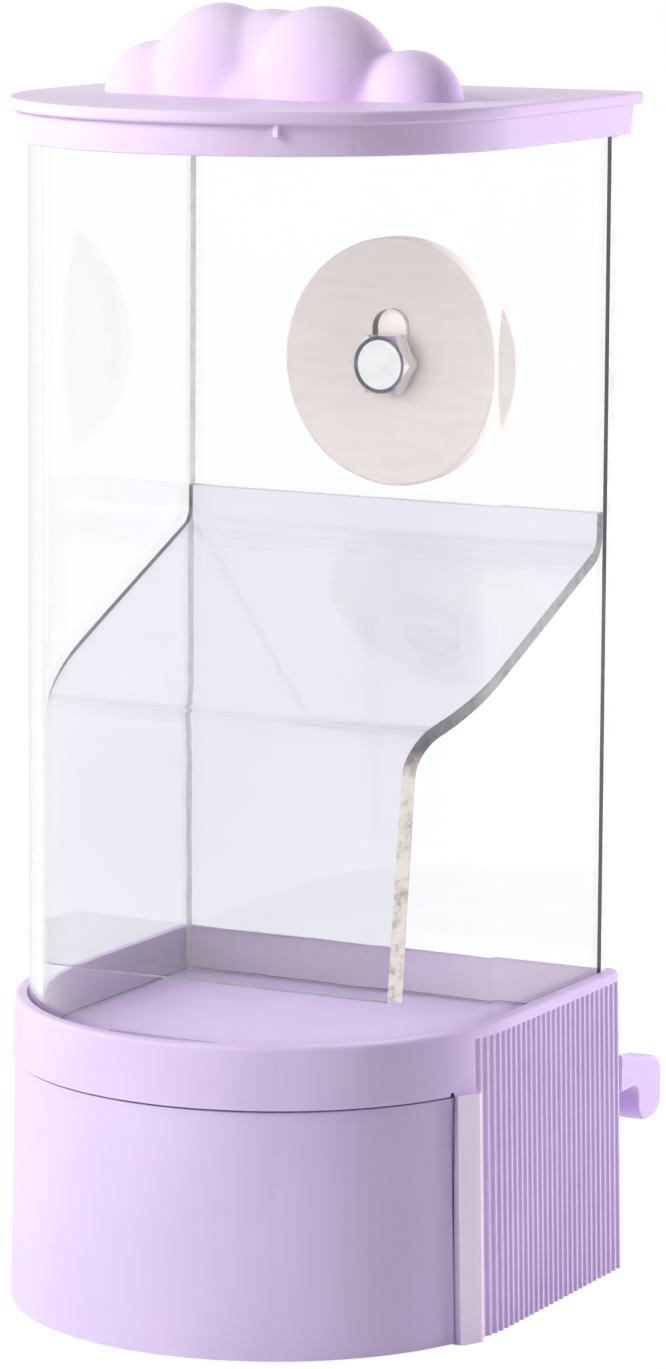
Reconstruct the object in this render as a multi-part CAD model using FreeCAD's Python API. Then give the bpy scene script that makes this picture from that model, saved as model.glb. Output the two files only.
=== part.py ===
# Small cage feeder: a clear hopper tank on a lavender plastic base with a pull-out
# feed drawer, a lift-off lid with a hollow cloud handle, a bent clear baffle inside,
# and a bolt, wooden disc, washer and wing nut that clamp it to cage wire.
# Millimetres. +Z up, the drawer pulls out towards -Y, the cage side faces +Y.
# The origin is the centre of the base's underside.
import FreeCAD, Part
import math
import os

os.makedirs("parts", exist_ok=True)

# Every plan outline is a half circle about the origin's axis at the front, with
# straight sides running back from it to a flat back.
tank_r, tank_back = 41.2, 43.6
foot_r, rim_r, base_back = 44.8, 43.6, 44.8

# base housing
rim_z = 52.0                 # top of the collar round the tank
collar_z = 41.6              # underside of the collar, over the drawer front
deck_top_z, deck_thick = 44.2, 2.0
floor_thick = 2.0
bay_half = 41.2              # half width of the drawer bay
back_wall = 2.2
post_y0, post_y1 = -14.7, -10.8      # plain front ends of the side walls
post_x0, post_x1 = 43.1, 45.0
post_root_y = -4.0
rim_round = 0.8
throat_half, throat_back_y, throat_ledge = 27.0, -8.4, 4.5

# clearances
fit_gap = 0.35               # between pieces that lift off each other
slide_gap = 0.4              # round the drawer
glue_line = 0.05
seat_gap = 0.05

# feed drawer
panel_inset, panel_wall = 0.7, 2.2
tray_wall, tray_floor = 1.8, 1.8
tray_top_z = 38.0

# tank
tank_wall = 2.3
tank_bottom_z, tank_top_z = 44.5, 199.3

# lid
lid_top_z = 201.7
flange_thick, flange_reach = 2.1, 3.2
skirt_z = 194.5
skirt_reach_low, skirt_reach_high = 1.5, 2.0
cloud_y, cloud_wall = 1.0, 2.0
cloud_lobes = [              # x, centre height over the lid's top, radius
    (-23.5, -0.5, 8.5),
    (-10.4, 3.9, 11.3),
    (7.6, 2.8, 12.2),
    (24.6, -0.3, 7.6),
]

# baffle: y and z of the bent sheet's centre line, and the radius of each bend
baffle_thick = 2.3
baffle_line = [(40.1, 131.0), (40.1, 124.4), (-18.7, 99.2), (-20.9, 57.4)]
baffle_bends = [4.0, 8.0]

# clamp through the tank's back wall, on one axis along Y
bolt_z, bolt_r, bolt_length = 154.2, 3.0, 25.0
head_flats, head_thick = 10.0, 4.0
point_chamfer = 0.8
slot_r, slot_top_z = 3.25, 163.4
disc_r, disc_thick, disc_round = 21.4, 5.0, 0.5
washer_r, washer_hole_r, washer_thick = 6.25, 3.2, 1.6
nut_hole_r, nut_height, nut_base_r, nut_top_r = 3.05, 5.5, 5.6, 4.4
wing_reach, wing_height, wing_thick, wing_tip_r = 14.0, 10.5, 2.0, 4.4

# cage hooks on the back of the base
hook_outer_x, hook_width = 44.0, 5.0
hook_reach, hook_slot = 15.8, 6.2    # from the back: tip of the finger, its inner face
hook_root_z, hook_slot_z, hook_drop_z = 37.2, 30.4, 23.6
hook_slot_round = 2.4

far = 90.0                   # half size of cutting blocks


def vec(x, y, z):
    return FreeCAD.Vector(x, y, z)


def outline(radius, back, z):
    edges = [
        Part.makeLine(vec(-radius, back, z), vec(radius, back, z)),
        Part.makeLine(vec(radius, back, z), vec(radius, 0, z)),
        Part.Arc(vec(radius, 0, z), vec(0, -radius, z), vec(-radius, 0, z)).toShape(),
        Part.makeLine(vec(-radius, 0, z), vec(-radius, back, z)),
    ]
    return Part.Wire(edges)


def prism(radius, back, low_z, high_z):
    return Part.Face(outline(radius, back, low_z)).extrude(vec(0, 0, high_z - low_z))


def taper(low_r, high_r, back, low_z, high_z):
    """A prism whose radius changes with height: a half cone and a wedge behind it."""
    height = high_z - low_z
    nose = Part.makeCone(low_r, high_r, height, vec(0, 0, low_z))
    nose = nose.cut(block(-far, far, 0, far, low_z - 1, high_z + 1))
    corners = [vec(-low_r, 0, low_z), vec(low_r, 0, low_z), vec(high_r, 0, high_z), vec(-high_r, 0, high_z)]
    body = Part.Face(Part.makePolygon(corners + corners[:1])).extrude(vec(0, back, 0))
    return nose.fuse(body).removeSplitter()


def block(x0, x1, y0, y1, z0, z1):
    return Part.makeBox(x1 - x0, y1 - y0, z1 - z0, vec(x0, y0, z0))


def rod(radius, y0, y1, z=bolt_z):
    return Part.makeCylinder(radius, y1 - y0, vec(0, y0, z), vec(0, 1, 0))


def cone(r0, r1, y0, y1):
    return Part.makeCone(r0, r1, y1 - y0, vec(0, y0, bolt_z), vec(0, 1, 0))


def base_r(z):
    return foot_r + (rim_r - foot_r) * z / rim_z


def make_hook(side):
    y_in, y_out = base_back + hook_slot, base_back + hook_reach
    tip_r = (y_out - y_in) / 2 - 0.8
    diag = math.sin(math.pi / 4)
    root_y = base_back - 1.0
    slot_y = y_in - hook_slot_round
    low_z = hook_drop_z + tip_r
    out_y, in_y = y_out - 1.2, y_in + 0.4
    tip_mid = (out_y + in_y) / 2
    edges = [
        Part.makeLine(vec(0, root_y, hook_root_z), vec(0, base_back + 8.0, hook_root_z - 2.2)),
        Part.Arc(vec(0, base_back + 8.0, hook_root_z - 2.2), vec(0, y_out - 1.8, 31.6),
                 vec(0, y_out, low_z)).toShape(),
        Part.Arc(vec(0, y_out, low_z), vec(0, tip_mid, hook_drop_z), vec(0, y_in, low_z)).toShape(),
        Part.makeLine(vec(0, y_in, low_z), vec(0, y_in, hook_slot_z - hook_slot_round)),
        Part.Arc(vec(0, y_in, hook_slot_z - hook_slot_round),
                 vec(0, slot_y + hook_slot_round * diag, hook_slot_z - hook_slot_round * (1 - diag)),
                 vec(0, slot_y, hook_slot_z)).toShape(),
        Part.makeLine(vec(0, slot_y, hook_slot_z), vec(0, root_y, hook_slot_z)),
        Part.makeLine(vec(0, root_y, hook_slot_z), vec(0, root_y, hook_root_z)),
    ]
    face = Part.Face(Part.Wire(edges))
    face.translate(vec(hook_outer_x - hook_width if side > 0 else -hook_outer_x, 0, 0))
    return face.extrude(vec(hook_width, 0, 0))


def make_post(side):
    points = [(bay_half, post_y0), (post_x0, post_y0), (post_x1, post_y1), (post_x1, post_root_y - 3.0),
              (foot_r - 0.8, post_root_y), (bay_half, post_root_y)]
    corners = [vec(side * x, y, 0) for x, y in points]
    return Part.Face(Part.makePolygon(corners + corners[:1])).extrude(vec(0, 0, collar_z))


def make_base():
    body = taper(foot_r, rim_r, base_back, 0, rim_z)
    lip = [e for e in body.Edges if e.BoundBox.ZMin > rim_z - 0.01]
    body = body.makeFillet(rim_round, lip)
    body = body.cut(prism(tank_r + fit_gap, tank_back + fit_gap, deck_top_z, rim_z + 1))
    under_deck = deck_top_z - deck_thick
    body = body.cut(block(-bay_half, bay_half, post_y0, base_back - back_wall, floor_thick, under_deck))
    front_cut = block(-far, far, -far, post_y0, -1, collar_z)
    tray_room = block(-far, far, -far, post_y0 + 1, floor_thick, under_deck)
    tray_room = tray_room.common(prism(rim_r - 3.0, base_back, floor_thick, under_deck))
    floor_r = foot_r - panel_inset - panel_wall - 2 * fit_gap
    floor_front = prism(floor_r, base_back - back_wall, 0, floor_thick)
    floor_front = floor_front.common(block(-bay_half, bay_half, -far, 0, 0, floor_thick))
    body = body.cut(front_cut).cut(tray_room).fuse(floor_front)
    throat = prism(tank_r - throat_ledge, tank_back, under_deck - 2, deck_top_z + 1)
    body = body.cut(throat.common(block(-throat_half, throat_half, -far, throat_back_y, 0, far)))
    return body.multiFuse([make_hook(1), make_hook(-1), make_post(1), make_post(-1)]).removeSplitter()


def make_drawer():
    low_z, high_z = 0.3, collar_z - slide_gap
    low_r, high_r = base_r(low_z) - panel_inset, base_r(high_z) - panel_inset
    outer = taper(low_r, high_r, base_back, low_z, high_z)
    inner = taper(low_r - panel_wall, high_r - panel_wall, base_back, low_z, high_z)
    panel = outer.cut(inner).common(block(-far, far, -far, post_y0 - slide_gap, low_z, high_z))
    tray_half = bay_half - slide_gap
    tray_back = base_back - back_wall - slide_gap
    tray_low = floor_thick + slide_gap
    tray = outer.common(block(-tray_half, tray_half, -far, tray_back, tray_low, tray_top_z))
    hollow_half = tray_half - tray_wall
    hollow = inner.common(block(-hollow_half, hollow_half, -far, tray_back - tray_wall,
                                tray_low + tray_floor, high_z))
    return panel.fuse(tray).cut(hollow).removeSplitter()


def make_tank():
    inner_r, inner_back = tank_r - tank_wall, tank_back - tank_wall
    shell = prism(tank_r, tank_back, tank_bottom_z, tank_top_z)
    shell = shell.cut(prism(inner_r, inner_back, tank_bottom_z - 1, tank_top_z + 1))
    y0, y1 = inner_back - 1, tank_back + 1
    slot_mid = slot_top_z - slot_r
    slot = rod(slot_r, y0, y1).multiFuse([rod(slot_r, y0, y1, slot_mid),
                                          block(-slot_r, slot_r, y0, y1, bolt_z, slot_mid)])
    return shell.cut(slot)


def bent_profile():
    """Side view of the baffle in the plane X = 0, its bends struck about their own centres."""
    half = baffle_thick / 2
    line = [vec(0, y, z) for y, z in baffle_line]
    turns = []
    for before, corner, after, radius in zip(line, line[1:], line[2:], baffle_bends):
        one, two = (before - corner).normalize(), (after - corner).normalize()
        half_angle = math.acos(one.dot(two)) / 2
        bisector = (one + two).normalize()
        reach = radius / math.tan(half_angle)
        centre = corner + bisector * (radius / math.sin(half_angle))
        turns.append((centre, corner + one * reach, corner + two * reach, bisector))

    def normal(start, end):
        run = (end - start).normalize()
        return vec(0, -run.z, run.y)

    def side(shift):
        here = line[0] + normal(line[0], line[1]) * shift
        edges = []
        for (centre, enter, leave, bisector), start, corner in zip(turns, line, line[1:]):
            offset = normal(start, corner) * shift
            a = enter + offset
            size = a.distanceToPoint(centre)
            c = centre + (leave - centre).normalize() * size
            edges += [Part.makeLine(here, a), Part.Arc(a, centre - bisector * size, c).toShape()]
            here = c
        finish = line[-1] + normal(line[-2], line[-1]) * shift
        return edges + [Part.makeLine(here, finish)], line[0] + normal(line[0], line[1]) * shift, finish

    left, left_top, left_end = side(half)
    right, right_top, right_end = side(-half)
    ends = [Part.makeLine(left_top, right_top), Part.makeLine(left_end, right_end)]
    return Part.Face(Part.Wire(Part.__sortEdges__(left + right + ends)))


def make_baffle():
    profile = bent_profile()
    profile.translate(vec(-tank_r, 0, 0))
    room = tank_wall + glue_line
    inside = prism(tank_r - room, tank_back - room, tank_bottom_z, tank_top_z)
    return profile.extrude(vec(2 * tank_r, 0, 0)).common(inside)


def make_lid():
    plate_z = lid_top_z - flange_thick
    skirt = taper(tank_r + skirt_reach_low, tank_r + skirt_reach_high, tank_back + skirt_reach_high,
                  skirt_z, plate_z)
    lid = skirt.fuse(prism(tank_r + flange_reach, tank_back + flange_reach, plate_z, lid_top_z))
    lid = lid.cut(prism(tank_r + fit_gap, tank_back + fit_gap, skirt_z - 1, plate_z))

    def cloud(inset, low_z):
        balls = [Part.makeSphere(r - inset, vec(x, cloud_y, lid_top_z + up)) for x, up, r in cloud_lobes]
        return balls[0].multiFuse(balls[1:]).common(block(-far, far, -far, far, low_z, lid_top_z + far))

    lid = lid.fuse(cloud(0, lid_top_z - 0.5))
    return lid.cut(cloud(cloud_wall, plate_z - 1)).removeSplitter()


def make_bolt():
    seat_y = tank_back - tank_wall - seat_gap
    face_y, end_y = seat_y - head_thick, seat_y + bolt_length
    corner_r = head_flats / math.sqrt(3)
    angles = [math.radians(60 * i) for i in range(6)]
    points = [vec(corner_r * math.cos(a), face_y, bolt_z + corner_r * math.sin(a)) for a in angles]
    head = Part.Face(Part.makePolygon(points + points[:1])).extrude(vec(0, head_thick, 0))
    head = head.common(cone(head_flats / 2 - 0.3, head_flats / 2 + head_thick, face_y, seat_y))
    shank = rod(bolt_r, seat_y - 1, end_y - point_chamfer)
    point = cone(bolt_r, bolt_r - point_chamfer, end_y - point_chamfer, end_y)
    return head.multiFuse([shank, point]).removeSplitter()


def make_disc():
    y0 = tank_back + seat_gap
    edge = Part.makeCylinder(disc_r, disc_thick, vec(0, y0, bolt_z), vec(0, 1, 0))
    edge = edge.makeFillet(disc_round, [e for e in edge.Edges if len(e.Vertexes) == 1])
    return edge.cut(rod(slot_r, y0 - 1, y0 + disc_thick + 1))


def make_washer():
    y0 = tank_back + disc_thick + 2 * seat_gap
    return rod(washer_r, y0, y0 + washer_thick).cut(rod(washer_hole_r, y0 - 1, y0 + washer_thick + 1))


def make_wing_nut():
    y0 = tank_back + disc_thick + washer_thick + 3 * seat_gap
    low_z = bolt_z - wing_thick / 2
    tip_x, tip_y = wing_reach - wing_tip_r, y0 + wing_height - wing_tip_r
    pieces = []
    for side in (-1, 1):
        outline_points = [(3.4, y0 + 0.6), (tip_x + 1.2, tip_y - 4.2), (tip_x - 3.4, tip_y + 2.8),
                          (3.4, y0 + nut_height - 0.4)]
        corners = [vec(side * x, y, low_z) for x, y in outline_points]
        web = Part.Face(Part.makePolygon(corners + corners[:1])).extrude(vec(0, 0, wing_thick))
        tip = Part.makeCylinder(wing_tip_r, wing_thick, vec(side * tip_x, tip_y, low_z), vec(0, 0, 1))
        pieces += [web, tip]
    boss = cone(nut_base_r, nut_top_r, y0, y0 + nut_height)
    return boss.multiFuse(pieces).cut(rod(nut_hole_r, y0 - 1, y0 + 2 * nut_height)).removeSplitter()


makers = {
    "base_housing": make_base,
    "feed_drawer": make_drawer,
    "hopper_tank": make_tank,
    "feed_baffle": make_baffle,
    "cloud_lid": make_lid,
    "hex_bolt": make_bolt,
    "wooden_disc": make_disc,
    "plain_washer": make_washer,
    "wing_nut": make_wing_nut,
}

for node, maker in makers.items():
    shape = maker()
    solid = shape.Solids[0] if len(shape.Solids) == 1 else shape
    box = solid.BoundBox
    print(node, "solids", len(shape.Solids), "valid", solid.isValid(), "volume", round(solid.Volume),
          "box", [round(v, 1) for v in (box.XMin, box.XMax, box.YMin, box.YMax, box.ZMin, box.ZMax)])
    solid.exportStep("parts/%s.step" % node)
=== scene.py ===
import math

import bpy
from mathutils import Matrix, Vector


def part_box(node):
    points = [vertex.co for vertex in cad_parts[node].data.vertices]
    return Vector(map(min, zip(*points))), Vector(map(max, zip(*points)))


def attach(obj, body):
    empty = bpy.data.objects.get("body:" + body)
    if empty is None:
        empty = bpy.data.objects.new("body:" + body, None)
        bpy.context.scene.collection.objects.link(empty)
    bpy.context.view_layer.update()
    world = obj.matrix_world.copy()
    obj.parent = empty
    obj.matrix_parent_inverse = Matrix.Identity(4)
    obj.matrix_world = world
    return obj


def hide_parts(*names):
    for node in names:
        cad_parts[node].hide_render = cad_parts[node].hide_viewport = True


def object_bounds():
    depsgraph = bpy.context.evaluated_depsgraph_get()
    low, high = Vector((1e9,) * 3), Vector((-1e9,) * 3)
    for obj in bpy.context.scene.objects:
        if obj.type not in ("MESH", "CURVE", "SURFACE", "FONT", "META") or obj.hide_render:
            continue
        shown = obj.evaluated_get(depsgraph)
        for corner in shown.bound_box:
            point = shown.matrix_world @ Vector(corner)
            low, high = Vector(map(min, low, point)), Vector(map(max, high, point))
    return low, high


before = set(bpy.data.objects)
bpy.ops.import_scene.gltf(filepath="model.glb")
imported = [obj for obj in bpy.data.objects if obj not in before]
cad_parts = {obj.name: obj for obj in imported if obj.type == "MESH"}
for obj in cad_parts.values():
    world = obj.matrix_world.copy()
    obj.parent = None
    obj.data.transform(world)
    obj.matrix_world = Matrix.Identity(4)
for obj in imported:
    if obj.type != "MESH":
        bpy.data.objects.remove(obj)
cadLow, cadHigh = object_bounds()

mm = 0.001
far = 90 * mm                 # past the outside of every piece
near = 0.1 * mm               # how close a point lies to the place it is picked by
roundSteps = 144              # sides of a full circle on the big D shaped pieces
fineSteps = 64                # and on the fittings

baseLow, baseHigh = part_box("base_housing")
drawerLow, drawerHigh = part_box("feed_drawer")
tankLow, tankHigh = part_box("hopper_tank")
baffleLow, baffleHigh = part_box("feed_baffle")
lidLow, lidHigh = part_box("cloud_lid")
boltLow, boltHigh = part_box("hex_bolt")
discLow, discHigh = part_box("wooden_disc")
washerLow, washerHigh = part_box("plain_washer")
nutLow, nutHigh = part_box("wing_nut")
tankR, tankBack = tankHigh.x, tankHigh.y
boltZ = (discLow.z + discHigh.z) / 2


# Small helpers around the operators.

def deselectAll():
    if bpy.context.object and bpy.context.mode != "OBJECT":
        bpy.ops.object.mode_set(mode="OBJECT")
    bpy.ops.object.select_all(action="DESELECT")


def makeActive(piece):
    deselectAll()
    piece.select_set(True)
    bpy.context.view_layer.objects.active = piece


def settle(name):
    piece = bpy.context.object
    piece.name = name
    bpy.ops.object.transform_apply(location=True, rotation=True, scale=True)
    return piece


def addBlock(name, low, high):
    deselectAll()
    low, high = Vector(low), Vector(high)
    bpy.ops.mesh.primitive_cube_add(size=1, location=(low + high) / 2, scale=high - low)
    return settle(name)


def addRod(name, radius, y0, y1, z=boltZ, farRadius=None, steps=fineSteps):
    deselectAll()
    endRadius = radius if farRadius is None else farRadius
    bpy.ops.mesh.primitive_cone_add(vertices=steps, radius1=radius, radius2=endRadius, depth=y1 - y0,
                                    location=(0, (y0 + y1) / 2, z), rotation=(-math.pi / 2, 0, 0))
    return settle(name)


def addHalfRound(name, lowR, highR, back, lowZ, highZ):
    deselectAll()
    bpy.ops.mesh.primitive_cone_add(vertices=roundSteps, radius1=lowR, radius2=highR, depth=highZ - lowZ,
                                    location=(0, 0, (lowZ + highZ) / 2))
    piece = settle(name)
    bpy.ops.object.mode_set(mode="EDIT")
    bpy.ops.mesh.select_mode(type="EDGE")
    bpy.ops.mesh.select_all(action="SELECT")
    bpy.ops.mesh.bisect(plane_co=(0, 0, 0), plane_no=(0, 1, 0), clear_outer=True, threshold=1e-6)
    bpy.ops.mesh.extrude_region_move(TRANSFORM_OT_translate={"value": (0, back, 0)})
    bpy.ops.mesh.edge_face_add()
    bpy.ops.mesh.select_all(action="SELECT")
    bpy.ops.mesh.normals_make_consistent(inside=False)
    bpy.ops.object.mode_set(mode="OBJECT")
    return piece


def pick(piece, kind, test):
    makeActive(piece)
    bpy.ops.object.mode_set(mode="EDIT")
    bpy.ops.mesh.select_mode(type=kind)
    bpy.ops.mesh.select_all(action="DESELECT")
    bpy.ops.object.mode_set(mode="OBJECT")
    mesh = piece.data
    if kind == "VERT":
        for vert in mesh.vertices:
            vert.select = test(vert.co)
    elif kind == "EDGE":
        for edge in mesh.edges:
            edge.select = test(mesh.vertices[edge.vertices[0]].co, mesh.vertices[edge.vertices[1]].co)
    else:
        for face in mesh.polygons:
            face.select = test(face.center, face.normal)
    bpy.ops.object.mode_set(mode="EDIT")


def roundPicked(width, segments=4):
    bpy.ops.mesh.bevel(offset=width, segments=segments, affect="EDGES")
    bpy.ops.object.mode_set(mode="OBJECT")


def combine(piece, other, operation):
    makeActive(piece)
    cut = piece.modifiers.new("combine", "BOOLEAN")
    cut.operation = operation
    cut.solver = "EXACT"
    cut.object = other
    bpy.ops.object.modifier_apply(modifier=cut.name)
    bpy.data.objects.remove(other)


def cutAway(piece, cutter):
    combine(piece, cutter, "DIFFERENCE")


def weld(piece, *others):
    for other in others:
        combine(piece, other, "UNION")


def joinAll(name, pieces):
    deselectAll()
    for piece in pieces:
        piece.select_set(True)
    bpy.context.view_layer.objects.active = pieces[0]
    bpy.ops.object.join()
    pieces[0].name = name
    return pieces[0]


def softenEdges(piece, width, segments=2, angle=40):
    makeActive(piece)
    edge = piece.modifiers.new("edges", "BEVEL")
    edge.width = width
    edge.segments = segments
    edge.limit_method = "ANGLE"
    edge.angle_limit = math.radians(angle)
    edge.use_clamp_overlap = True
    edge.harden_normals = False
    bpy.ops.object.modifier_apply(modifier=edge.name)


def smooth(piece, angle=30):
    makeActive(piece)
    bpy.ops.object.mode_set(mode="EDIT")
    bpy.ops.mesh.select_all(action="SELECT")
    bpy.ops.mesh.remove_doubles(threshold=1e-6)
    bpy.ops.mesh.normals_make_consistent(inside=False)
    bpy.ops.object.mode_set(mode="OBJECT")
    bpy.ops.object.shade_smooth_by_angle(angle=math.radians(angle))
    even = piece.modifiers.new("even", "WEIGHTED_NORMAL")
    even.keep_sharp = True
    bpy.ops.object.modifier_apply(modifier=even.name)


def finishPiece(piece, material, body, node):
    piece.data.materials.clear()
    piece.data.materials.append(material)
    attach(piece, body)
    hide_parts(node)
    print("made", piece.name, len(piece.data.polygons), "faces")


def coatFaces(piece, material, test):
    if material.name not in piece.data.materials:
        piece.data.materials.append(material)
    for face in piece.data.polygons:
        if test(face.center, face.normal):
            face.material_index = 1


# Materials.

def newMaterial(name):
    material = bpy.data.materials.new(name)
    material.use_nodes = True
    tree = material.node_tree
    shader = tree.nodes["Principled BSDF"]
    where = tree.nodes.new("ShaderNodeTexCoord")
    return material, tree, shader, where


def addNoise(tree, where, scale, detail=4.0, roughness=0.5):
    noise = tree.nodes.new("ShaderNodeTexNoise")
    noise.inputs["Scale"].default_value = scale
    noise.inputs["Detail"].default_value = detail
    noise.inputs["Roughness"].default_value = roughness
    tree.links.new(where.outputs["Object"], noise.inputs["Vector"])
    return noise.outputs["Fac"]


def addRamp(tree, factor, stops):
    ramp = tree.nodes.new("ShaderNodeValToRGB")
    elements = ramp.color_ramp.elements
    while len(elements) < len(stops):
        elements.new(0.5)
    for element, (position, colour) in zip(elements, stops):
        element.position = position
        element.color = (*colour, 1)
    tree.links.new(factor, ramp.inputs["Fac"])
    return ramp.outputs["Color"]


def addRange(tree, value, low, high):
    spread = tree.nodes.new("ShaderNodeMapRange")
    spread.inputs["From Min"].default_value = 0.3
    spread.inputs["From Max"].default_value = 0.7
    spread.inputs["To Min"].default_value = low
    spread.inputs["To Max"].default_value = high
    tree.links.new(value, spread.inputs["Value"])
    return spread.outputs["Result"]


def addBump(tree, height, strength, distance, below=None):
    bump = tree.nodes.new("ShaderNodeBump")
    bump.inputs["Strength"].default_value = strength
    bump.inputs["Distance"].default_value = distance
    tree.links.new(height, bump.inputs["Height"])
    if below:
        tree.links.new(below, bump.inputs["Normal"])
    return bump.outputs["Normal"]


def mouldedPlastic(name, deep, pale, gloss=0.38):
    material, tree, shader, where = newMaterial(name)
    cloudy = addNoise(tree, where, 45)
    grain = addNoise(tree, where, 3500, 2)
    sink = addNoise(tree, where, 120, 1)
    tree.links.new(addRamp(tree, cloudy, [(0.3, deep), (0.7, pale)]), shader.inputs["Base Color"])
    tree.links.new(addRange(tree, grain, gloss - 0.05, gloss + 0.07), shader.inputs["Roughness"])
    fine = addBump(tree, grain, 0.12, 0.05 * mm)
    tree.links.new(addBump(tree, sink, 0.1, 0.3 * mm, fine), shader.inputs["Normal"])
    shader.inputs["IOR"].default_value = 1.49
    shader.inputs["Subsurface Weight"].default_value = 0.2
    shader.inputs["Subsurface Radius"].default_value = (1.0, 0.7, 1.0)
    shader.inputs["Subsurface Scale"].default_value = 1.5 * mm
    return material


def clearAcrylic(name, deep, pale, waves, waveStrength):
    material, tree, shader, where = newMaterial(name)
    cloudy = addNoise(tree, where, 30)
    wavy = addNoise(tree, where, waves, 2)
    tree.links.new(addRamp(tree, cloudy, [(0.3, deep), (0.7, pale)]), shader.inputs["Base Color"])
    tree.links.new(addRange(tree, cloudy, 0.0, 0.02), shader.inputs["Roughness"])
    tree.links.new(addBump(tree, wavy, waveStrength, 0.4 * mm), shader.inputs["Normal"])
    shader.inputs["IOR"].default_value = 1.49
    shader.inputs["Transmission Weight"].default_value = 1.0
    return material


def addMix(tree, factor, one, two, mode="MIX"):
    mix = tree.nodes.new("ShaderNodeMix")
    mix.data_type = "RGBA"
    mix.blend_type = mode
    if isinstance(factor, float):
        mix.inputs["Factor"].default_value = factor
    else:
        tree.links.new(factor, mix.inputs["Factor"])
    tree.links.new(one, mix.inputs["A"])
    tree.links.new(two, mix.inputs["B"])
    return mix.outputs["Result"]


def sawnEdge(name, lowZ, highZ, stops, chip=(0.35, 0.32, 0.30)):
    material, tree, shader, where = newMaterial(name)
    split = tree.nodes.new("ShaderNodeSeparateXYZ")
    tree.links.new(where.outputs["Object"], split.inputs["Vector"])
    height = tree.nodes.new("ShaderNodeMapRange")
    height.inputs["From Min"].default_value = lowZ
    height.inputs["From Max"].default_value = highZ
    tree.links.new(split.outputs["Z"], height.inputs["Value"])
    # colour ramp over height from the given stops; on the baffle's cut edge this ramp carries painted shade
    along = addRamp(tree, height.outputs["Result"], stops)
    chips = addNoise(tree, where, 420, 5, 0.7)
    mottle = addRamp(tree, chips, [(0.38, chip), (0.5, (0.9, 0.88, 0.84)), (0.62, (1.0, 1.0, 1.0))])
    tree.links.new(addMix(tree, 0.8, along, mottle, "MULTIPLY"), shader.inputs["Base Color"])
    tree.links.new(addRange(tree, chips, 0.65, 0.35), shader.inputs["Roughness"])
    tree.links.new(addBump(tree, chips, 0.5, 0.2 * mm), shader.inputs["Normal"])
    return material


def paleWood(name, dark, light):
    material, tree, shader, where = newMaterial(name)
    turn = tree.nodes.new("ShaderNodeMapping")
    turn.inputs["Rotation"].default_value = (0, 0.35, 0)
    turn.inputs["Scale"].default_value = (1, 1, 6)
    tree.links.new(where.outputs["Object"], turn.inputs["Vector"])
    rings = tree.nodes.new("ShaderNodeTexNoise")
    rings.inputs["Scale"].default_value = 90
    rings.inputs["Detail"].default_value = 6
    rings.inputs["Distortion"].default_value = 0.6
    tree.links.new(turn.outputs["Vector"], rings.inputs["Vector"])
    grain = rings.outputs["Fac"]
    tree.links.new(addRamp(tree, grain, [(0.3, dark), (0.62, light)]), shader.inputs["Base Color"])
    tree.links.new(addRange(tree, grain, 0.75, 0.6), shader.inputs["Roughness"])
    tree.links.new(addBump(tree, grain, 0.35, 0.15 * mm), shader.inputs["Normal"])
    return material


def platedSteel(name, deep, pale, rough):
    material, tree, shader, where = newMaterial(name)
    patches = addNoise(tree, where, 260)
    scuffs = addNoise(tree, where, 2200, 3)
    tree.links.new(addRamp(tree, patches, [(0.3, deep), (0.7, pale)]), shader.inputs["Base Color"])
    tree.links.new(addRange(tree, scuffs, rough - 0.06, rough + 0.1), shader.inputs["Roughness"])
    tree.links.new(addBump(tree, scuffs, 0.15, 0.03 * mm), shader.inputs["Normal"])
    shader.inputs["Metallic"].default_value = 1.0
    return material


lavender = mouldedPlastic("lavenderPlastic", (0.62, 0.48, 0.77), (0.66, 0.52, 0.80))
# a paler copy of the lavender, used only as painted light on faces that should look more brightly lit
paintedLightLavender = mouldedPlastic("paintedLightLavender", (0.90, 0.75, 0.97), (0.93, 0.80, 0.99))
drawerLavender = mouldedPlastic("drawerPlastic", (0.61, 0.475, 0.765), (0.65, 0.515, 0.795), 0.42)
lidLavender = mouldedPlastic("lidPlastic", (0.66, 0.51, 0.77), (0.70, 0.55, 0.80), 0.4)
tankClear = clearAcrylic("tankAcrylic", (0.972, 0.975, 0.985), (0.985, 0.987, 0.996), 25, 0.02)
baffleClear = clearAcrylic("baffleAcrylic", (0.79, 0.785, 0.86), (0.84, 0.835, 0.89), 60, 0.2)
# The cut edge's colour changes with height: grey at the foot, beige up the lower leg, a near-black band at
# the bend and dark grey up the slope. The dark band and the darker slope are painted shade for the edge
# turning away from the light; the chip mottle is the sawn face's own.
sawnAcrylicWithPaintedShade = sawnEdge("sawnAcrylicWithPaintedShade", baffleLow.z, baffleHigh.z, [
    (0.0, (0.62, 0.62, 0.63)), (0.012, (0.62, 0.62, 0.63)),
    (0.03, (0.60, 0.56, 0.51)), (0.5, (0.60, 0.56, 0.51)),
    (0.56, (0.09, 0.08, 0.10)), (0.66, (0.22, 0.22, 0.24)), (1.0, (0.30, 0.30, 0.32))])
seamAcrylic = sawnEdge("seamAcrylic", tankLow.z, tankHigh.z, [
    (0.0, (0.80, 0.79, 0.82)), (0.04, (0.93, 0.93, 0.95)),
    (0.45, (0.95, 0.95, 0.96)), (0.7, (0.86, 0.85, 0.86)),
    (1.0, (0.95, 0.95, 0.96))], (0.80, 0.79, 0.80))
wood = paleWood("discWood", (0.92, 0.80, 0.74), (0.95, 0.86, 0.80))
boltSteel = platedSteel("boltSteel", (0.84, 0.84, 0.85), (0.95, 0.95, 0.95), 0.16)
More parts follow.
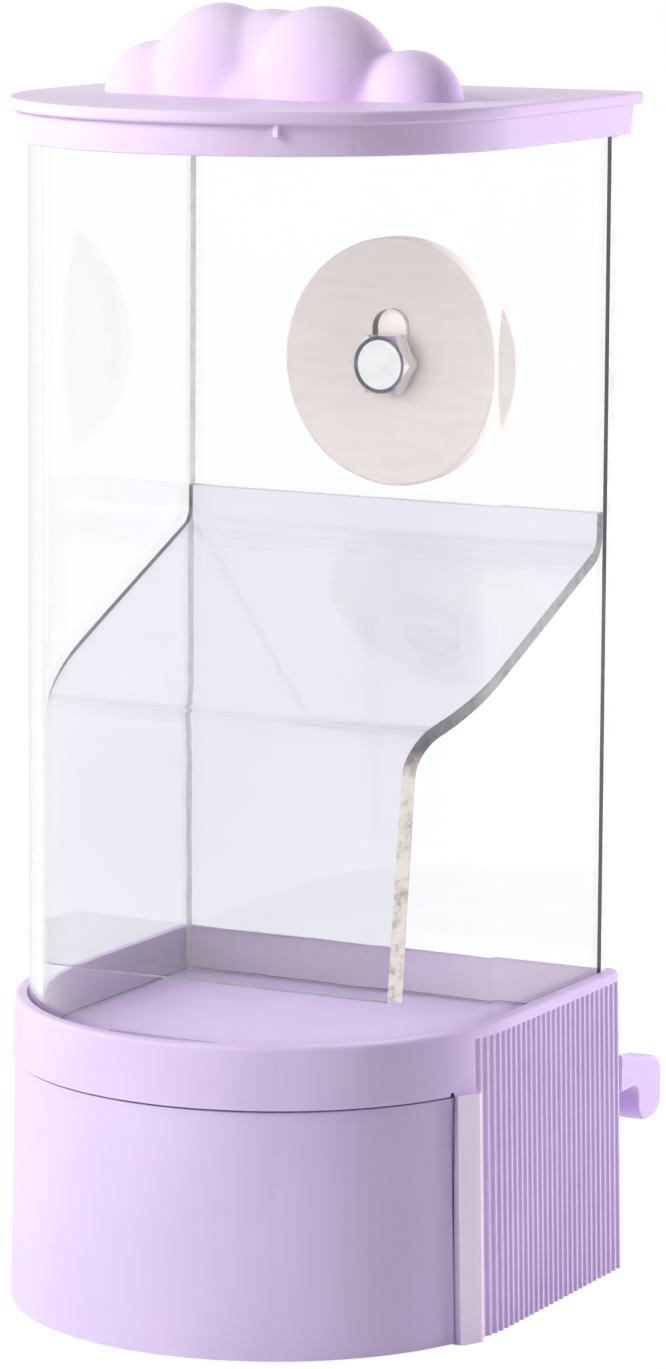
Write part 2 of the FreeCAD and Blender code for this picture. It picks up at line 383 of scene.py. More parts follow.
# dark steel used only as a painted reflection: the ring round the bolt face, where the chamfer mirrors dark
# surroundings
paintedDarkRing = platedSteel("paintedDarkRingSteel", (0.07, 0.06, 0.09), (0.30, 0.28, 0.33), 0.3)
washerSteel = platedSteel("washerSteel", (0.66, 0.67, 0.68), (0.78, 0.79, 0.80), 0.26)
nutSteel = platedSteel("wingNutSteel", (0.62, 0.63, 0.64), (0.75, 0.76, 0.77), 0.3)
print("materials ready")


# Base housing with its posts, hooks and ribs.

base = {
    "footR": 44.8 * mm,
    "rimR": 43.6 * mm,
    "back": 44.8 * mm,
    "collarZ": 41.6 * mm,
    "deckTop": 44.2 * mm,
    "deck": 2.0 * mm,
    "floor": 2.0 * mm,
    "bayHalf": 41.2 * mm,
    "backWall": 2.2 * mm,
    "lipRound": 0.8 * mm,
    "cornerRound": 2.3 * mm,
    "seatGap": 0.35 * mm,
    "postY": (-14.7 * mm, -10.9 * mm, -10.2 * mm),     # front, shoulder, rear
    "postX": (43.0 * mm, 44.9 * mm),                   # at the front and at the shoulder
    "postRound": 0.3 * mm,
    "postBed": 0.35 * mm,                              # let into the side wall
    "postInset": 0.03 * mm,                            # off the foot and the collar
    "postProud": 0.05 * mm,
    "postSkin": 0.6 * mm,
    "postStep": 1.2 * mm,
    "postLean": 0.9 * mm,
    "trayWall": 3.0 * mm,
    "floorStep": 3.6 * mm,
    "floorLap": 4.0 * mm,
    "sliver": 0.01 * mm,
    "edgeRound": 0.3 * mm,
    "throatHalf": 27.0 * mm,
    "throatBack": -8.4 * mm,
    "throatLedge": 4.5 * mm,
    "ribFrom": -9.57 * mm,
    "ribPitch": 1.9 * mm,
    "ribDepth": 0.4 * mm,
    "ribR": 0.9 * mm,
    "ribTop": 50.2 * mm,
    "ribSides": 16,
}


def baseRadius(z):
    return base["footR"] + (base["rimR"] - base["footR"]) * z / baseHigh.z


def makePost(side):
    frontY, shoulderY, rearY = base["postY"]
    frontX, outerX = base["postX"]
    inset, topZ = base["postInset"], base["collarZ"]
    low, high = sorted((side * (base["bayHalf"] + base["postBed"]), side * outerX))
    post = addBlock("post", (low, shoulderY, inset), (high, rearY, topZ - inset))
    pick(post, "FACE", lambda c, n: n.y < -0.9)
    forward = frontY - base["postProud"] - shoulderY
    bpy.ops.mesh.extrude_region_move(TRANSFORM_OT_translate={"value": (0, forward, 0)})
    pick(post, "VERT", lambda co: co.y < frontY + near and abs(co.x) > frontX)
    bpy.ops.transform.translate(value=(side * (frontX - outerX), 0, 0))
    pick(post, "EDGE", lambda a, b: (abs(a.z - b.z) > mm and max(a.y, b.y) < shoulderY + near
                                     and abs(a.x) > frontX - near))
    roundPicked(base["postRound"], 3)
    pick(post, "VERT", lambda co: co.y > rearY - near and abs(co.x) > frontX)
    bpy.ops.transform.translate(value=(-side * base["postStep"], 0, 0))
    skinX = base["bayHalf"] + base["postSkin"]
    pick(post, "VERT", lambda co: co.z > topZ - near and abs(co.x) > skinX)
    bpy.ops.transform.translate(value=(-side * base["postLean"], 0, 0))
    bpy.ops.object.mode_set(mode="OBJECT")
    return post


hook = {
    "outerX": 44.0 * mm,
    "width": 5.0 * mm,
    "slot": 6.2 * mm,            # from the back wall to the finger
    "rootZ": 37.2 * mm,
    "slotTop": 30.4 * mm,
    "tipZ": 23.6 * mm,
    "tipDrop": 3.2 * mm,
    "slotDrop": 1.9 * mm,
    "topRound": 3.2 * mm,
    "tipRound": 3.6 * mm,
    "slotRound": 2.0 * mm,
    "edgeRound": 0.7 * mm,
}


def makeHook(side):
    low, high = sorted((side * hook["outerX"], side * (hook["outerX"] - hook["width"])))
    tipY = baseHigh.y
    slotY = base["back"] + hook["slot"]
    slotTop, rootZ, tipZ = hook["slotTop"], hook["rootZ"], hook["tipZ"]
    tipTop = rootZ - hook["tipDrop"]
    arm = addBlock("hook", (low, base["back"] - mm, slotTop), (high, slotY, rootZ))
    pick(arm, "FACE", lambda c, n: n.y > 0.9)
    bpy.ops.mesh.extrude_region_move(TRANSFORM_OT_translate={"value": (0, tipY - slotY, 0)})
    pick(arm, "FACE", lambda c, n: n.z < -0.9 and c.y > slotY)
    bpy.ops.mesh.extrude_region_move(TRANSFORM_OT_translate={"value": (0, 0, tipZ - slotTop)})
    pick(arm, "VERT", lambda co: co.y > tipY - near and co.z > rootZ - near)
    bpy.ops.transform.translate(value=(0, 0, -hook["tipDrop"]))
    pick(arm, "VERT", lambda co: abs(co.y - slotY) < near and co.z > rootZ - near)
    bpy.ops.transform.translate(value=(0, 0, -hook["slotDrop"]))
    pick(arm, "EDGE", lambda a, b: min(a.y, b.y) > tipY - near and min(a.z, b.z) > tipTop - near)
    roundPicked(hook["topRound"], 8)
    pick(arm, "EDGE", lambda a, b: max(a.z, b.z) < tipZ + near and abs(a.x - b.x) > mm)
    roundPicked(hook["tipRound"], 8)
    pick(arm, "EDGE", lambda a, b: (abs(a.x - b.x) > mm and abs(a.y - slotY) < near
                                    and abs(a.z - slotTop) < near and abs(b.z - a.z) < near))
    roundPicked(hook["slotRound"], 6)
    softenEdges(arm, hook["edgeRound"], 3)
    return arm


def makeRibCutter(side):
    cutters = []
    step = base["ribFrom"]
    topZ, lowZ = base["ribTop"], -2 * mm
    lean = math.atan2(base["footR"] - base["rimR"], baseHigh.z)
    lift = base["ribR"] - base["ribDepth"]
    middleZ = (topZ + lowZ) / 2
    while step < base["back"] - 0.6 * mm:
        turn = math.asin(min(step, 0) / base["footR"])
        reach = baseRadius(middleZ) + lift
        x, y = side * reach * math.cos(turn), step if step > 0 else reach * math.sin(turn)
        deselectAll()
        bpy.ops.mesh.primitive_cylinder_add(vertices=base["ribSides"], radius=base["ribR"], depth=topZ - lowZ,
                                            location=(x, y, middleZ), rotation=(0, -side * lean, 0))
        cutters.append(settle("ribGap"))
        step += base["ribPitch"]
    return joinAll("ribGaps", cutters)


def makeBase():
    body = addHalfRound("base_housing_shell", base["footR"], base["rimR"], base["back"], 0, baseHigh.z)
    pick(body, "EDGE", lambda a, b: abs(a.z - b.z) > 20 * mm and min(a.y, b.y) > base["back"] - near)
    roundPicked(base["cornerRound"], 5)
    pick(body, "EDGE", lambda a, b: min(a.z, b.z) > baseHigh.z - base["sliver"])
    roundPicked(base["lipRound"], 4)
    cutAway(body, makeRibCutter(1))
    cutAway(body, makeRibCutter(-1))
    seat = tankR + base["seatGap"]
    seatBack = tankBack + base["seatGap"]
    cutAway(body, addHalfRound("seat", seat, seat, seatBack, base["deckTop"], baseHigh.z + mm))
    underDeck = base["deckTop"] - base["deck"]
    postY = base["postY"][0]
    insideBack = base["back"] - base["backWall"]
    cutAway(body, addBlock("bay", (-base["bayHalf"], postY - mm, base["floor"]),
                           (base["bayHalf"], insideBack, underDeck)))
    cutAway(body, addBlock("front", (-far, -far, -mm), (far, postY, base["collarZ"])))
    trayR = base["rimR"] - base["trayWall"]
    cutAway(body, addHalfRound("trayRoom", trayR, trayR, mm, base["collarZ"] - mm, underDeck))
    floorR = base["footR"] - base["floorStep"]
    sliver = base["sliver"]
    floor = addHalfRound("floor", floorR, floorR, insideBack, sliver, base["floor"] - sliver)
    cutAway(floor, addBlock("floorCut", (-far, postY + base["floorLap"], -mm), (far, far, 3 * mm)))
    softenEdges(floor, base["edgeRound"], 2, 60)
    throatR = tankR - base["throatLedge"]
    throat = addHalfRound("throat", throatR, throatR, mm, underDeck - 2 * mm, base["deckTop"] + mm)
    half = base["throatHalf"]
    combine(throat, addBlock("throatBox", (-half, -far, 0), (half, base["throatBack"], far)), "INTERSECT")
    cutAway(body, throat)
    softenEdges(body, base["edgeRound"], 2, 75)
    weld(body, floor, makePost(1), makePost(-1), makeHook(1), makeHook(-1))
    smooth(body)
    finishPiece(body, lavender, "base", "base_housing")
    postRear = base["postY"][2]
    # Painted light: the post's slanted and side faces take the paler lavender copy, standing in for the rim
    # light that catches the post while the panel beside it is in shade.
    coatFaces(body, paintedLightLavender, lambda c, n: (postY - near < c.y < postRear and abs(n.x) > 0.2
                                                and abs(c.x) > base["bayHalf"] + near
                                                and c.z < base["collarZ"] / 2 + mm))
    # Painted light: the back lip's inner face behind the tank takes the paler copy, standing in for light
    # reaching it through the tank.
    coatFaces(body, paintedLightLavender, lambda c, n: n.y < -0.9 and c.y > tankBack and c.z > base["deckTop"])


# Feed drawer.

drawer = {
    "inset": 0.45 * mm,
    "panel": 2.2 * mm,
    "gap": 0.4 * mm,
    "trayWall": 1.8 * mm,
    "trayTop": 38.0 * mm,
    "cheek": 3.0 * mm,
    "round": 0.5 * mm,
}


def makeDrawer():
    lowZ, highZ = drawerLow.z, drawerHigh.z
    lowR, highR = baseRadius(lowZ) - drawer["inset"], baseRadius(highZ) - drawer["inset"]
    frontY = base["postY"][0] - drawer["gap"]
    half = base["bayHalf"] - drawer["gap"]
    back = base["back"] - base["backWall"] - drawer["gap"]
    low = base["floor"] + drawer["gap"]
    wall, panel = drawer["trayWall"], drawer["panel"]
    body = addHalfRound("feed_drawer_tray", lowR, highR, back, lowZ, highZ)
    cutAway(body, addBlock("leftSide", (-far, frontY, -mm), (-half, far, far)))
    cutAway(body, addBlock("rightSide", (half, frontY, -mm), (far, far, far)))
    cutAway(body, addBlock("underTray", (-far, frontY, -mm), (far, far, low)))
    cutAway(body, addBlock("overTray", (-far, frontY + drawer["cheek"], drawer["trayTop"]), (far, far, far)))
    under = addHalfRound("under", lowR - panel, lowR - panel, mm, -mm, low)
    cutAway(body, under)
    hollow = addHalfRound("hollow", lowR - panel, highR - panel, back - wall, low + wall, highZ + mm)
    cutAway(hollow, addBlock("leftKeep", (-far, -far, 0), (wall - half, far, far)))
    cutAway(hollow, addBlock("rightKeep", (half - wall, -far, 0), (far, far, far)))
    cutAway(body, hollow)
    softenEdges(body, drawer["round"], 3)
    smooth(body)
    finishPiece(body, drawerLavender, "drawer", "feed_drawer")


# Hopper tank.

tank = {
    "wall": 2.3 * mm,
    "seamWide": 2.6 * mm,
    "seamDeep": 1.2 * mm,
    "cornerRound": 0.3 * mm,
    "edgeRound": 0.2 * mm,
    "slotR": 3.25 * mm,
    "slotTop": 163.4 * mm,
}


def makeTank():
    shell = addHalfRound("hopper_tank_shell", tankR, tankR, tankBack, tankLow.z, tankHigh.z)
    pick(shell, "EDGE", lambda a, b: min(a.y, b.y) > tankBack - near and abs(a.z - b.z) > mm)
    roundPicked(tank["cornerRound"], 4)
    inner = addHalfRound("inner", tankR - tank["wall"], tankR - tank["wall"], tankBack - tank["wall"],
                         tankLow.z - mm, tankHigh.z + mm)
    cutAway(shell, inner)
    y0, y1 = tankBack - 2 * tank["wall"], tankBack + mm
    slotZ = tank["slotTop"] - tank["slotR"]
    slot = addRod("slot", tank["slotR"], y0, y1)
    weld(slot, addRod("slotEnd", tank["slotR"], y0, y1, slotZ),
         addBlock("slotSide", (-tank["slotR"], y0, boltZ), (tank["slotR"], y1, slotZ)))
    cutAway(shell, slot)
    softenEdges(shell, tank["edgeRound"], 2, 60)
    seamY = tankBack - tank["seamWide"]
    makeActive(shell)
    bpy.ops.object.mode_set(mode="EDIT")
    bpy.ops.mesh.select_all(action="SELECT")
    bpy.ops.mesh.bisect(plane_co=(0, seamY, 0), plane_no=(0, 1, 0))
    bpy.ops.object.mode_set(mode="OBJECT")
    smooth(shell)
    finishPiece(shell, tankClear, "tank", "hopper_tank")
    coatFaces(shell, seamAcrylic, lambda c, n: (c.y > seamY and abs(c.x) > tankR - tank["seamDeep"]
                                                and abs(n.x) > 0.3 and abs(n.z) < 0.5))


# Bent baffle inside the tank.

baffle = {
    "thick": 2.3 * mm,
    "line": [(40.1 * mm, 131.0 * mm), (40.1 * mm, 124.4 * mm),        # Y and Z of the ends and bends
             (-18.7 * mm, 99.2 * mm), (-20.9 * mm, 57.4 * mm)],
    "bends": [4.0 * mm, 8.0 * mm],
    "glue": 0.05 * mm,
    "sawn": 0.3 * mm,
    "edgeRound": 0.15 * mm,
}


def bendSheet(sheet, before, corner, after, radius):
    one = Vector(corner) - Vector(before)
    two = Vector(after) - Vector(corner)
    reach = radius * math.tan(one.angle(two) / 2)
    pick(sheet, "EDGE", lambda a, b: abs(a.x - b.x) > mm and (a.yz - Vector(corner)).length < near)
    roundPicked(reach, 10)


def makeBaffle():
    line = baffle["line"]
    (y0, z0), (y1, z1) = line[:2]
    deselectAll()
    bpy.ops.mesh.primitive_plane_add(size=1, scale=(2 * tankR, 1, 1))
    sheet = settle("feed_baffle_sheet")
    pick(sheet, "VERT", lambda co: co.y < 0)
    bpy.ops.transform.translate(value=(0, y0 + 0.5, z0))
    pick(sheet, "VERT", lambda co: abs(co.z) < near)
    bpy.ops.transform.translate(value=(0, y1 - 0.5, z1))
    for (fromY, fromZ), (y, z) in zip(line[1:], line[2:]):
        pick(sheet, "EDGE", lambda a, b: abs(a.x - b.x) > mm and abs(a.z - fromZ) < near)
        bpy.ops.mesh.extrude_region_move(TRANSFORM_OT_translate={"value": (0, y - fromY, z - fromZ)})
        bpy.ops.object.mode_set(mode="OBJECT")
    for before, corner, after, radius in zip(line, line[1:], line[2:], baffle["bends"]):
        bendSheet(sheet, before, corner, after, radius)
    makeActive(sheet)
    thick = sheet.modifiers.new("thick", "SOLIDIFY")
    thick.thickness = baffle["thick"]
    thick.offset = 0
    thick.use_even_offset = True
    bpy.ops.object.modifier_apply(modifier=thick.name)
    room = tank["wall"] + baffle["glue"]
    edgeR = tankR - room
    inside = addHalfRound("inside", edgeR, edgeR, tankBack - room, tankLow.z, tankHigh.z)
    combine(sheet, inside, "INTERSECT")
    softenEdges(sheet, baffle["edgeRound"], 1, 60)
    smooth(sheet)
    finishPiece(sheet, baffleClear, "tank", "feed_baffle")
    coatFaces(sheet, sawnAcrylicWithPaintedShade, lambda c, n: (abs(math.hypot(c.x, min(c.y, 0)) - edgeR) < baffle["sawn"]
                                                or c.z < baffleLow.z + near))


# Lid with its cloud handle.

lid = {
    "plateTop": 201.7 * mm,
    "plate": 2.1 * mm,
    "flangeReach": 3.2 * mm,
    "skirtLow": 1.5 * mm,
    "skirtHigh": 2.0 * mm,
    "gap": 0.35 * mm,
    "plateRound": 0.6 * mm,
    "wall": 2.0 * mm,
    "voxel": 0.45 * mm,
    "cloudY": 1.0 * mm,
    "edgeRound": 0.3 * mm,
    "lap": 0.5 * mm,
    "nubLow": (19.6 * mm, -38.9 * mm, 197.6 * mm),
    "nubHigh": (20.8 * mm, -36.9 * mm, 199.8 * mm),
    "blurs": 50,
}
cloudLobes = [               # x, height over the plate, then the half sizes along X, Y and Z
    (-23.0 * mm, -0.6 * mm, 9.7 * mm, 8.0 * mm, 9.2 * mm),
    (-10.9 * mm, 2.2 * mm, 12.3 * mm, 10.0 * mm, 12.9 * mm),
    (7.8 * mm, 1.8 * mm, 13.3 * mm, 10.8 * mm, 13.2 * mm),
    (23.8 * mm, -0.6 * mm, 8.9 * mm, 7.8 * mm, 8.9 * mm),
    (-1.6 * mm, 1.2 * mm, 14.0 * mm, 8.0 * mm, 13.1 * mm),
    (-1.0 * mm, -0.6 * mm, 28.5 * mm, 9.6 * mm, 9.4 * mm),
]


def makeCloud(name, inset, floorZ):
    lobes = []
    for x, up, halfX, halfY, halfZ in cloudLobes:
        deselectAll()
        bpy.ops.mesh.primitive_uv_sphere_add(segments=48, ring_count=24, radius=1,
                                             location=(x, lid["cloudY"], lid["plateTop"] + up),
                                             scale=(halfX - inset, halfY - inset, halfZ - inset))
        lobes.append(settle("lobe"))
    cloud = joinAll(name, lobes)
    cloud.data.remesh_voxel_size = lid["voxel"]
    makeActive(cloud)
    bpy.ops.object.voxel_remesh()
    blur = cloud.modifiers.new("blur", "SMOOTH")
    blur.factor = 0.5
    blur.iterations = lid["blurs"]
    bpy.ops.object.modifier_apply(modifier=blur.name)
    bpy.ops.object.mode_set(mode="EDIT")
    bpy.ops.mesh.select_all(action="SELECT")
    bpy.ops.mesh.bisect(plane_co=(0, 0, floorZ), plane_no=(0, 0, 1), clear_inner=True, use_fill=True)
    bpy.ops.object.mode_set(mode="OBJECT")
    return cloud


def makeLid():
    plateZ = lid["plateTop"] - lid["plate"]
    reach = lid["flangeReach"]
    plateR = tankR + reach
    piece = addHalfRound("cloud_lid_cover", plateR, plateR, tankBack + reach, plateZ, lid["plateTop"])
    softenEdges(piece, lid["plateRound"], 3, 60)
    skirt = addHalfRound("skirt", tankR + lid["skirtLow"], tankR + lid["skirtHigh"],
                         tankBack + lid["skirtHigh"],
                         lidLow.z, plateZ + lid["lap"])
    softenEdges(skirt, lid["edgeRound"], 2, 60)
    weld(piece, skirt)
    room = tankR + lid["gap"]
    cutAway(piece, addHalfRound("mouth", room, room, tankBack + lid["gap"], lidLow.z - mm, plateZ))
    nub = addBlock("nub", lid["nubLow"], lid["nubHigh"])
    softenEdges(nub, lid["edgeRound"], 3)
    weld(piece, nub)
    weld(piece, makeCloud("cloud", 0, lid["plateTop"] - lid["lap"]))
    cutAway(piece, makeCloud("cloudHollow", lid["wall"], plateZ - mm))
    smooth(piece, 35)
    finishPiece(piece, lidLavender, "lid", "cloud_lid")


# Hex bolt.

bolt = {
    "flats": 10.0 * mm,
    "head": 4.0 * mm,
    "r": 3.0 * mm,
    "coreR": 2.6 * mm,
    "pitch": 1.0 * mm,
    "chamfer": 0.8 * mm,
    "faceStep": 0.25 * mm,
    "faceIn": 0.2 * mm,           # the chamfer's circle inside the flats
    "coneFlare": 5.0 * mm,
    "ring": 0.45 * mm,
    # where the painted dark ring sits inside the flats, and its half width
    "paintedRingIn": 0.43 * mm,
    "paintedRingHalf": 0.35 * mm,
    "edgeRound": 0.12 * mm,
    "threadLap": 0.1 * mm,
}


def makeBolt():
    faceY = boltLow.y
    seatY = faceY + bolt["head"]
    endY = boltHigh.y
    head = addRod("hex_bolt_plated", bolt["flats"] / math.sqrt(3), faceY, seatY, steps=6)
    makeActive(head)
    bpy.ops.object.mode_set(mode="EDIT")
    bpy.ops.mesh.select_all(action="SELECT")
    bpy.ops.transform.rotate(value=math.radians(30), orient_axis="Y", center_override=(0, 0, boltZ))
    bpy.ops.object.mode_set(mode="OBJECT")
    sliver = 0.01 * mm
    cone = addRod("headChamfer", bolt["flats"] / 2 - bolt["faceIn"], faceY - sliver, seatY + sliver,
                  farRadius=bolt["flats"] / 2 + bolt["coneFlare"])
    combine(head, cone, "INTERSECT")
    pick(head, "FACE", lambda c, n: n.y < -0.9 and c.y < faceY + near)
    bpy.ops.mesh.inset(thickness=bolt["ring"])
    bpy.ops.transform.translate(value=(0, bolt["faceStep"], 0))
    bpy.ops.object.mode_set(mode="OBJECT")
    softenEdges(head, bolt["edgeRound"], 2, 25)
    pointY = endY - bolt["chamfer"]
    shank = addRod("shank", bolt["coreR"], seatY - 0.5 * mm, pointY)
    point = addRod("point", bolt["coreR"], pointY - sliver, endY, farRadius=bolt["r"] - bolt["chamfer"])
    weld(head, shank, point)
    smooth(head)
    thread = makeThread(seatY + 0.3 * mm, endY - 0.4 * mm)
    joined = joinAll("hex_bolt_plated", [head, thread])
    finishPiece(joined, boltSteel, "bolt", "hex_bolt")
    # Painted reflection: a dark ring on the bolt face stands in for the chamfer mirroring dark surroundings.
    paintedRingR = bolt["flats"] / 2 - bolt["paintedRingIn"]
    paintedRingHalf = bolt["paintedRingHalf"]
    coatFaces(joined, paintedDarkRing, lambda c, n: (c.y < faceY + 0.5 * mm
                                               and abs(math.hypot(c.x, c.z - boltZ) - paintedRingR) < paintedRingHalf))


def makeThread(startY, endY):
    deselectAll()
    turns = int((endY - startY) / bolt["pitch"]) - 1
    rootR = bolt["coreR"] - bolt["threadLap"]
    bpy.ops.mesh.primitive_circle_add(vertices=3, radius=1, fill_type="NGON")
    thread = settle("thread")
    corners = [(rootR, 0.05), (rootR, 0.95), (bolt["r"], 0.5)]
    for vert, (radius, along) in zip(thread.data.vertices, corners):
        vert.co = (radius, startY + along * bolt["pitch"], boltZ)
    coil = thread.modifiers.new("coil", "SCREW")
    coil.axis = "Y"
    coil.angle = 2 * math.pi * turns
    coil.screw_offset = bolt["pitch"] * turns
    coil.steps = 24 * turns
    coil.render_steps = 24 * turns
    centre = bpy.data.objects.new("centre", None)
    centre.location = (0, 0, boltZ)
    bpy.context.scene.collection.objects.link(centre)
    bpy.context.view_layer.update()
    coil.object = centre
    makeActive(thread)
    bpy.ops.object.modifier_apply(modifier=coil.name)
    bpy.data.objects.remove(centre)
    bpy.ops.object.mode_set(mode="EDIT")
    bpy.ops.mesh.select_all(action="SELECT")
    bpy.ops.mesh.remove_doubles(threshold=1e-6)
    bpy.ops.mesh.fill_holes(sides=0)
    bpy.ops.mesh.select_all(action="SELECT")
    bpy.ops.mesh.normals_make_consistent(inside=False)
    bpy.ops.object.mode_set(mode="OBJECT")
    bpy.ops.object.shade_smooth_by_angle(angle=math.radians(30))
    return thread


# Disc, washer and wing nut behind the tank.

fittings = {
    "holeR": 3.25 * mm,
    "discRound": 0.7 * mm,
    "washerHoleR": 3.2 * mm,
    "washerRound": 0.25 * mm,
    "nutHoleR": 3.05 * mm,
    "nutHeight": 5.5 * mm,
    "nutBaseR": 5.6 * mm,
    "nutTopR": 4.4 * mm,
    "wingThick": 2.0 * mm,
    "wingTipR": 4.4 * mm,
    "wingFoot": 0.6 * mm,
    "wingHead": 0.4 * mm,
    "webFrom": 3.0 * mm,
    "webTopIn": 2.4 * mm,
    "webLowOut": 1.2 * mm,
    "webLowDrop": 4.2 * mm,
    "boreRound": 0.15 * mm,
    "nutRound": 0.45 * mm,
}


def makeDisc():
    radius = discHigh.x
    disc = addRod("wooden_disc_turned", radius, discLow.y, discHigh.y, steps=96)
    softenEdges(disc, fittings["discRound"], 3, 60)
    cutAway(disc, addRod("hole", fittings["holeR"], discLow.y - mm, discHigh.y + mm))
    softenEdges(disc, fittings["boreRound"], 1, 60)
    smooth(disc)
    finishPiece(disc, wood, "pad", "wooden_disc")


def makeWasher():
    washer = addRod("plain_washer_stamped", washerHigh.x, washerLow.y, washerHigh.y)
    cutAway(washer, addRod("hole", fittings["washerHoleR"], washerLow.y - mm, washerHigh.y + mm))
    softenEdges(washer, fittings["washerRound"], 3, 60)
    smooth(washer)
    finishPiece(washer, washerSteel, "pad", "plain_washer")


def makeWing(side):
    tipR = fittings["wingTipR"]
    tipX, tipY = nutHigh.x - tipR, nutHigh.y - tipR
    half = fittings["wingThick"] / 2
    rootY = nutLow.y + fittings["wingFoot"]
    topY = nutLow.y + fittings["nutHeight"] - fittings["wingHead"]
    deselectAll()
    bpy.ops.mesh.primitive_cylinder_add(vertices=48, radius=tipR, depth=2 * half,
                                        location=(side * tipX, tipY, boltZ))
    wing = settle("wing")
    low, high = sorted((side * fittings["webFrom"], side * tipX))
    web = addBlock("web", (low, rootY, boltZ - half), (high, topY, boltZ + half))
    pick(web, "VERT", lambda co: abs(co.x - side * tipX) < near and co.y > topY - near)
    bpy.ops.transform.translate(value=(-side * fittings["webTopIn"], nutHigh.y - near - topY, 0))
    pick(web, "VERT", lambda co: abs(co.x - side * tipX) < near and co.y < rootY + near)
    lower = tipY - fittings["webLowDrop"] - rootY
    bpy.ops.transform.translate(value=(side * fittings["webLowOut"], lower, 0))
    bpy.ops.object.mode_set(mode="OBJECT")
    weld(wing, web)
    return wing


def makeNut():
    lowY, highY = nutLow.y, nutLow.y + fittings["nutHeight"]
    nut = addRod("wing_nut_cast", fittings["nutBaseR"], lowY, highY, farRadius=fittings["nutTopR"], steps=48)
    weld(nut, makeWing(1), makeWing(-1))
    softenEdges(nut, fittings["nutRound"], 3, 35)
    cutAway(nut, addRod("hole", fittings["nutHoleR"], lowY - mm, nutHigh.y + mm))
    smooth(nut, 40)
    finishPiece(nut, nutSteel, "nut", "wing_nut")


makeBase()
makeDrawer()
makeTank()
makeBaffle()
makeLid()
makeBolt()
makeDisc()
makeWasher()
makeNut()


# Floor, light and camera.

def makeFloor():
    deselectAll()
    bpy.ops.mesh.primitive_plane_add(size=6, location=(0, 0, cadLow.z))
    floor = settle("floor")
    material, tree, shader, where = newMaterial("floorPaper")
    speckle = addNoise(tree, where, 8)
    grey = addRamp(tree, speckle, [(0.3, (0.50, 0.50, 0.51)), (0.7, (0.52, 0.52, 0.525))])
    faint = addRamp(tree, speckle, [(0.3, (0.05, 0.05, 0.05)), (0.7, (0.06, 0.06, 0.06))])
    shader.inputs["Roughness"].default_value = 0.9
    shader.inputs["Emission Color"].default_value = (1, 1, 1, 1)
    path = tree.nodes.new("ShaderNodeLightPath")
    tree.links.new(addMix(tree, path.outputs["Is Diffuse Ray"], faint, grey), shader.inputs["Base Color"])
    glow = addRange(tree, path.outputs["Is Diffuse Ray"], 0.94, 0.06)
    tree.links.new(glow, shader.inputs["Emission Strength"])
    floor.data.materials.append(material)


def aimed(azimuth, elevation, distance=1.0):
    a, e = math.radians(azimuth), math.radians(elevation)
    return Vector((math.sin(a) * math.cos(e), -math.cos(a) * math.cos(e), math.sin(e))) * distance


def addSoftbox(name, azimuth, elevation, power, colour):
    light = bpy.data.lights.new(name, "AREA")
    light.color = colour
    light.size = studio["lampSize"]
    light.energy = power
    lamp = bpy.data.objects.new(name, light)
    middle = (cadLow + cadHigh) / 2
    lamp.location = middle + aimed(azimuth, elevation, studio["lampReach"])
    lamp.visible_glossy = False
    lamp.visible_transmission = False
    lamp.rotation_euler = (lamp.location - middle).to_track_quat("Z", "Y").to_euler()
    bpy.context.scene.collection.objects.link(lamp)


studio = {
    "clear": 1.0,                # what the gloss and the clear walls see
    "clearShade": 0.80,
    "soft": 0.22,                # what the matt surfaces gather
    "softShade": 0.16,
    "inside": 2.4,               # what reaches matt surfaces through the clear walls
    "insideFront": 6.5,
    "shadeAzimuth": 70,
    "shadeElevation": 3,
    "shadeEdge": (0.3, 0.9),
    "lampReach": 0.9,
    "lampSize": 0.4,
}


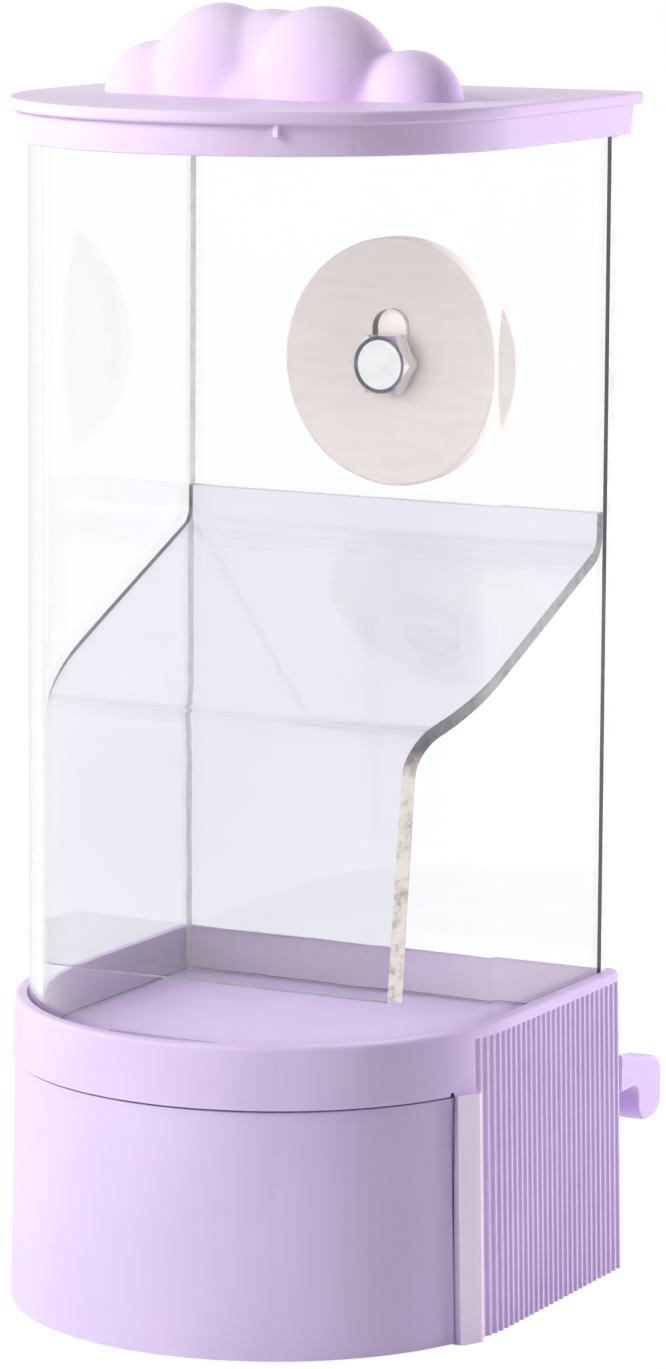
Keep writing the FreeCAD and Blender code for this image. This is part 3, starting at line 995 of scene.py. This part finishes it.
def makeWorld():
    world = bpy.data.worlds.new("studioWhite")
    world.use_nodes = True
    bpy.context.scene.world = world
    tree = world.node_tree
    background = tree.nodes["Background"]
    where = tree.nodes.new("ShaderNodeTexCoord")
    path = tree.nodes.new("ShaderNodeLightPath")

    def level(azimuth, elevation, bright, dark):
        facing = tree.nodes.new("ShaderNodeVectorMath")
        facing.operation = "DOT_PRODUCT"
        facing.inputs[1].default_value = aimed(azimuth, elevation)
        tree.links.new(where.outputs["Generated"], facing.inputs[0])
        spread = tree.nodes.new("ShaderNodeMapRange")
        spread.interpolation_type = "SMOOTHSTEP"
        spread.inputs["From Min"].default_value, spread.inputs["From Max"].default_value = studio["shadeEdge"]
        spread.inputs["To Min"].default_value = bright
        spread.inputs["To Max"].default_value = dark
        tree.links.new(facing.outputs["Value"], spread.inputs["Value"])
        return spread.outputs["Result"]

    def choose(factor, one, two):
        mix = tree.nodes.new("ShaderNodeMix")
        tree.links.new(factor, mix.inputs["Factor"])
        tree.links.new(one, mix.inputs["A"])
        if isinstance(two, float):
            mix.inputs["B"].default_value = two
        else:
            tree.links.new(two, mix.inputs["B"])
        return mix.outputs["Result"]

    side, low = studio["shadeAzimuth"], studio["shadeElevation"]
    clear = level(side, low, studio["clear"], studio["clearShade"])
    soft = level(side, low, studio["soft"], studio["softShade"])
    inside = level(0, 0, studio["inside"], studio["insideFront"])
    through = choose(path.outputs["Diffuse Depth"], clear, inside)
    strength = choose(path.outputs["Is Diffuse Ray"], through, soft)
    strength = choose(path.outputs["Is Camera Ray"], strength, 1.0)
    tree.links.new(strength, background.inputs["Strength"])
    background.inputs["Color"].default_value = (1, 1, 1, 1)


view = {
    "azimuth": 27.94,
    "elevation": 8.33,
    "roll": 0.31,
    "distance": 0.9557,
    "target": (0, 8.6 * mm, 115 * mm),
    "lens": 150,
    "film": 36,
    "shift": (0.0236, -0.0526),
}


def makeCamera():
    data = bpy.data.cameras.new("camera")
    data.sensor_fit = "VERTICAL"
    data.sensor_height = view["film"]
    data.lens = view["lens"]
    data.shift_x, data.shift_y = view["shift"]
    data.clip_start = 0.01
    camera = bpy.data.objects.new("camera", data)
    target = Vector(view["target"])
    camera.location = target + aimed(view["azimuth"], view["elevation"], view["distance"])
    turn = (camera.location - target).to_track_quat("Z", "Y").to_matrix()
    roll = Matrix.Rotation(math.radians(view["roll"]), 3, Vector((0, 0, 1)))
    camera.rotation_euler = (turn @ roll).to_euler()
    bpy.context.scene.collection.objects.link(camera)
    bpy.context.scene.camera = camera


makeFloor()
makeWorld()
addSoftbox("keyLight", -37, 30, 10, (0.93, 1.0, 0.86))
addSoftbox("rimLight", 148, 10, 11, (1.0, 0.98, 1.0))
makeCamera()
bpy.context.scene.view_settings.view_transform = "Standard"
